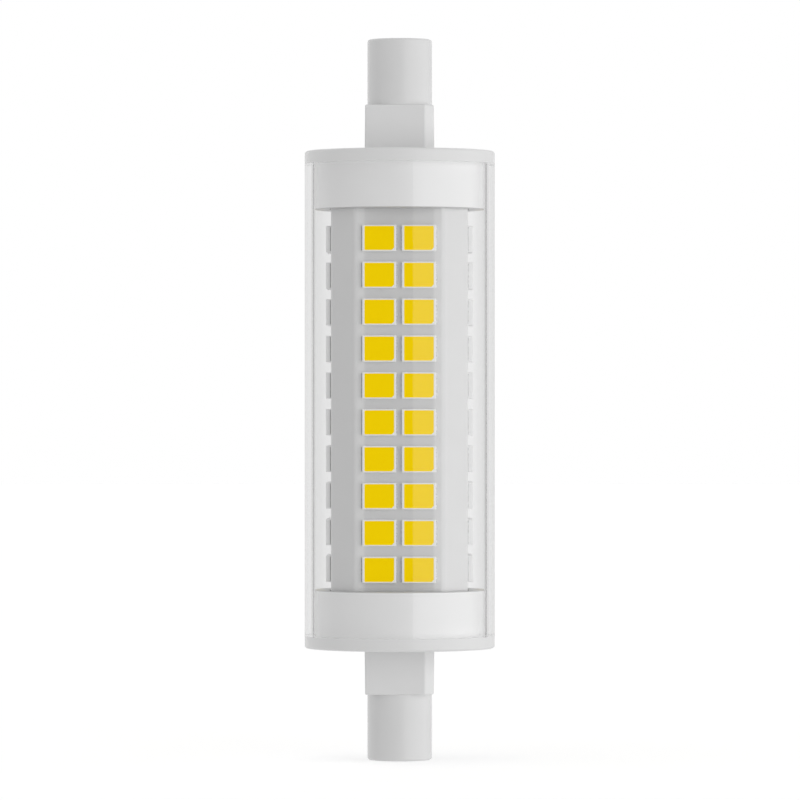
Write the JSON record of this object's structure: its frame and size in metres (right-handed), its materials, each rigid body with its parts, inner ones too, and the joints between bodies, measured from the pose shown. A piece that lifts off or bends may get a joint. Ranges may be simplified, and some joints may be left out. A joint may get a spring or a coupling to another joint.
{
  "type": "linear led lamp",
  "caption": "Straight double-ended LED lamp: clear tube over an eight-sided LED sleeve, white end caps, and a round base pin with a recessed contact at each end.",
  "frame": {"origin": "centre of the lower base pin's end face, on the lamp's axis", "axes": "+Z along the lamp's axis towards the upper base, -Y the front LED face, +X to its right"},
  "size_m": [0.0206, 0.0206, 0.078],
  "materials": {
    "clear_glass": "gloss",
    "white_cap": "satin",
    "contact_metal": "satin",
    "white_sheet": "matte",
    "led_white": "satin",
    "led_yellow": "satin",
    "driver_laminate": "satin",
    "black_package": "matte",
    "capacitor_can": "satin",
    "resistor_coat": "matte",
    "wire_insulation": "satin"
  },
  "bodies": {
    "root": {"clear_tube": "clear_glass", "upper_end_cap": "white_cap", "lower_end_cap": "white_cap", "upper_contact": "contact_metal", "lower_contact": "contact_metal", "led_board": "white_sheet", "driver_board": "driver_laminate", "bridge_rectifier": "black_package", "driver_chip": "black_package", "sense_resistors": "black_package", "smoothing_capacitor": "capacitor_can", "fusible_resistor": "resistor_coat", "upper_lead_wire": "wire_insulation", "lower_lead_wire": "wire_insulation", "led_feed_links": "contact_metal", "front_led_housings": "led_white", "front_led_phosphor": "led_yellow", "right_led_housings": "led_white", "right_led_phosphor": "led_yellow", "rear_led_housings": "led_white", "rear_led_phosphor": "led_yellow", "left_led_housings": "led_white", "left_led_phosphor": "led_yellow"}
  },
  "joints": []
}
